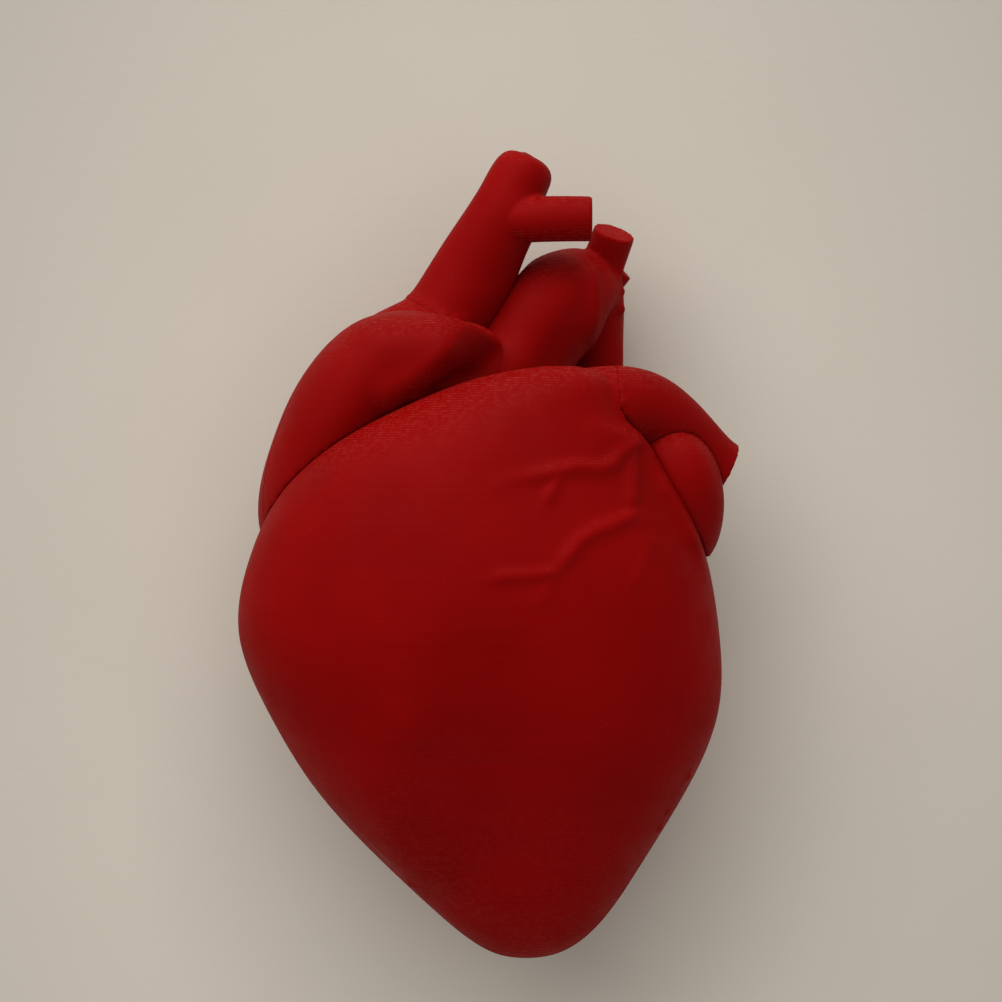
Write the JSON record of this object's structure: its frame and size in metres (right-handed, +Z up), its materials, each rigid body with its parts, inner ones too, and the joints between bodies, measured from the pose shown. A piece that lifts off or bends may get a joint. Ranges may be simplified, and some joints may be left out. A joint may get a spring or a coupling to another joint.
{
  "type": "heart anatomy model",
  "caption": "Take-apart human heart model in red printed plastic, lying on its back; its front lifts off chambers and valves, and its great vessels unplug.",
  "frame": {"origin": "bottom centre of the bounding box, on the table under the middle of the heart", "axes": "+X to the viewer's right, which is the heart's own left side; +Y from the apex to the great vessels; +Z up from the table, towards the heart's front"},
  "size_m": [0.0602, 0.0974, 0.0407],
  "materials": {
    "red_print": "satin layer-printed PLA",
    "magnet_nickel": "nickel plate"
  },
  "bodies": {
    "back_half": {"ventricle_back_half": "red_print", "right_atrium": "red_print", "left_atrium": "red_print", "inferior_vena_cava": "red_print", "right_pulmonary_artery": "red_print", "right_pulmonary_veins": "red_print", "left_pulmonary_veins": "red_print", "tricuspid_valve": "red_print", "mitral_valve": "red_print", "aortic_valve": "red_print", "right_papillary_muscles": "red_print", "left_papillary_muscles": "red_print", "back_magnets": "magnet_nickel", "locating_pins": "red_print"},
    "front_half": {"ventricle_front_wall": "red_print", "right_auricle": "red_print", "pulmonary_valve": "red_print", "front_magnets": "magnet_nickel"},
    "vena_cava": {"superior_vena_cava": "red_print"},
    "aortic_arch": {"aorta": "red_print"},
    "trunk": {"pulmonary_trunk": "red_print", "left_auricle": "red_print"}
  },
  "joints": [
    {"name": "front_lift", "type": "slide", "parent": "back_half", "child": "front_half", "axis": [0, 0, 1], "range_m": [0, 0.06]},
    {"name": "vena_cava_pull", "type": "slide", "parent": "back_half", "child": "vena_cava", "axis": [0.5, 0.866, 0], "range_m": [0, 0.03]},
    {"name": "aorta_pull", "type": "slide", "parent": "back_half", "child": "aortic_arch", "axis": [0.5501, 0.8351, 0], "range_m": [0, 0.01]},
    {"name": "trunk_pull", "type": "slide", "parent": "front_half", "child": "trunk", "axis": [0.9968, 0.0797, 0], "range_m": [0, 0.03]}
  ]
}
